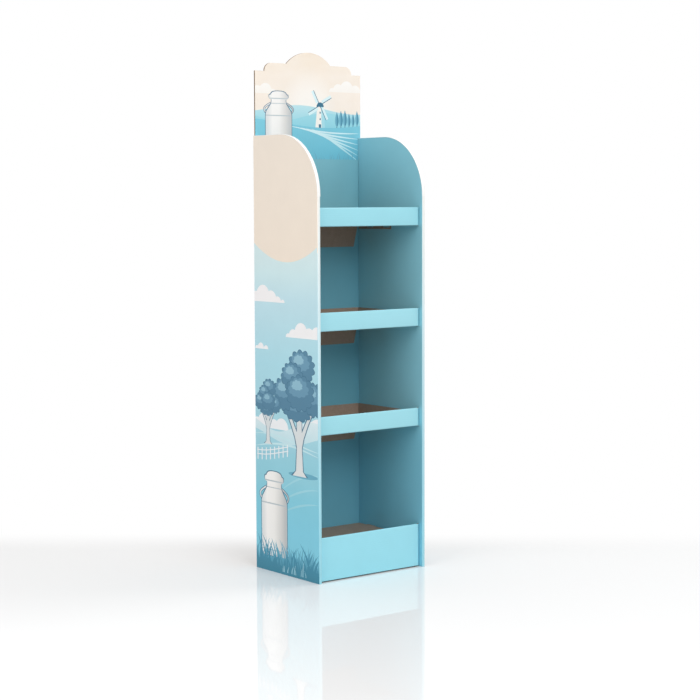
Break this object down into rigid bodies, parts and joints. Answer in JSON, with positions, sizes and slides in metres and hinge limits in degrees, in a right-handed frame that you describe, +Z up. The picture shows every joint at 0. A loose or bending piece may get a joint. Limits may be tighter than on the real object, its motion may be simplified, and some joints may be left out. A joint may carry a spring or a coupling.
{
  "type": "cardboard floor display stand",
  "caption": "Free-standing corrugated cardboard shelf display with hollow side walls, folded trays, a plain base and a scalloped header card.",
  "frame": {"origin": "centre of the stand's footprint, on the floor", "axes": "+Z up; +Y towards the back panel, so the open front faces -Y; +X to the right seen from the front"},
  "size_m": [0.42, 0.33, 1.625],
  "materials": {
    "printed_board": "litho-laminated white board with a soft gradient print, satin",
    "printed_header": "litho-laminated white board with a landscape print, kraft at the cut edges",
    "blue_board": "flat blue print, satin",
    "tray_board": "light cyan print outside, plain kraft inside, satin",
    "kraft_board": "plain uncoated kraft liner",
    "kraft_back": "plain uncoated kraft liner",
    "white_strip": "smooth white edge strip, satin"
  },
  "bodies": {
    "root": {"side_wall_left": "printed_board", "side_wall_right": "printed_board", "edge_strip_left": "white_strip", "edge_strip_right": "white_strip", "back_panel": "kraft_back", "back_liner": "blue_board", "header_card": "printed_header", "tray_lower": "tray_board", "tray_middle": "tray_board", "tray_upper": "tray_board", "tray_support_lower": "kraft_board", "tray_support_middle": "kraft_board", "tray_support_upper": "kraft_board", "base_front": "tray_board", "base_deck": "kraft_board", "base_rib_long": "kraft_board", "base_rib_left": "kraft_board", "base_rib_right": "kraft_board"}
  },
  "joints": []
}
